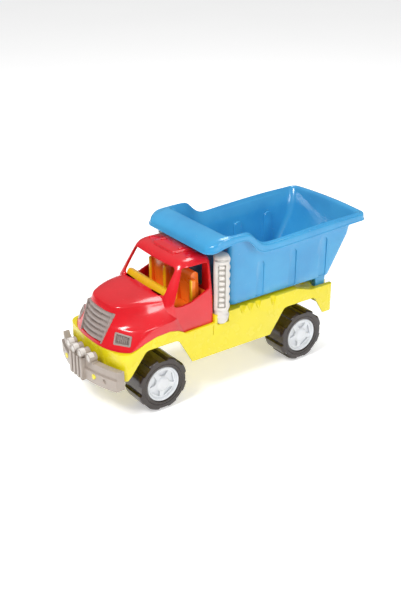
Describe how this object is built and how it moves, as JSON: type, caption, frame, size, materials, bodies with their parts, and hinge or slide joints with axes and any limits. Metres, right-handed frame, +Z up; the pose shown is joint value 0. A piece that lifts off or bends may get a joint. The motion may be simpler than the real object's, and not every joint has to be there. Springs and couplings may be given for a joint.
{
  "type": "toy dump truck",
  "caption": "Toy tipper truck with a bonneted cab, open windows, tipping bed with a cab protector, and wide lugged wheels on steel axles.",
  "frame": {"origin": "on the ground under the middle of the truck's length and width", "axes": "+Z up, the truck drives towards -Y, +Y points to the rear, +X points to the truck's left side"},
  "size_m": [0.154, 0.4244, 0.212],
  "materials": {
    "bed_blue": "glossy moulded plastic",
    "cab_red": "glossy moulded plastic",
    "chassis_yellow": "glossy moulded plastic",
    "insert_yellow": "glossy moulded plastic",
    "trim_grey": "satin moulded plastic",
    "bumper_grey": "satin moulded plastic",
    "stack_white": "satin moulded plastic",
    "tyre_black": "glossy hard plastic",
    "hub_white": "glossy moulded plastic",
    "steel": "bright drawn wire"
  },
  "bodies": {
    "chassis": {"chassis": "chassis_yellow", "cab": "cab_red", "cabin_insert": "insert_yellow", "grille": "trim_grey", "headlight_left": "trim_grey", "headlight_right": "trim_grey", "bumper": "bumper_grey", "stack_left": "stack_white", "stack_right": "stack_white", "cab_screws": "steel"},
    "bed": {"bed": "bed_blue"},
    "front_wheels": {"front_axle": "steel", "front_axle_caps": "steel", "tyre_front_left": "tyre_black", "tyre_front_right": "tyre_black", "hub_front_left": "hub_white", "hub_front_right": "hub_white"},
    "rear_wheels": {"rear_axle": "steel", "rear_axle_caps": "steel", "tyre_rear_left": "tyre_black", "tyre_rear_right": "tyre_black", "hub_rear_left": "hub_white", "hub_rear_right": "hub_white"}
  },
  "joints": [
    {"name": "tipping_hinge", "type": "hinge", "parent": "chassis", "child": "bed", "pos_m": [0, 0.14375, 0.0915], "axis": [-1, 0, 0], "range_deg": [0, 40]},
    {"name": "front_axle_spin", "type": "hinge", "parent": "chassis", "child": "front_wheels", "pos_m": [0, -0.12675, 0.0365], "axis": [1, 0, 0], "continuous": true},
    {"name": "rear_axle_spin", "type": "hinge", "parent": "chassis", "child": "rear_wheels", "pos_m": [0, 0.10325, 0.0365], "axis": [1, 0, 0], "continuous": true}
  ]
}
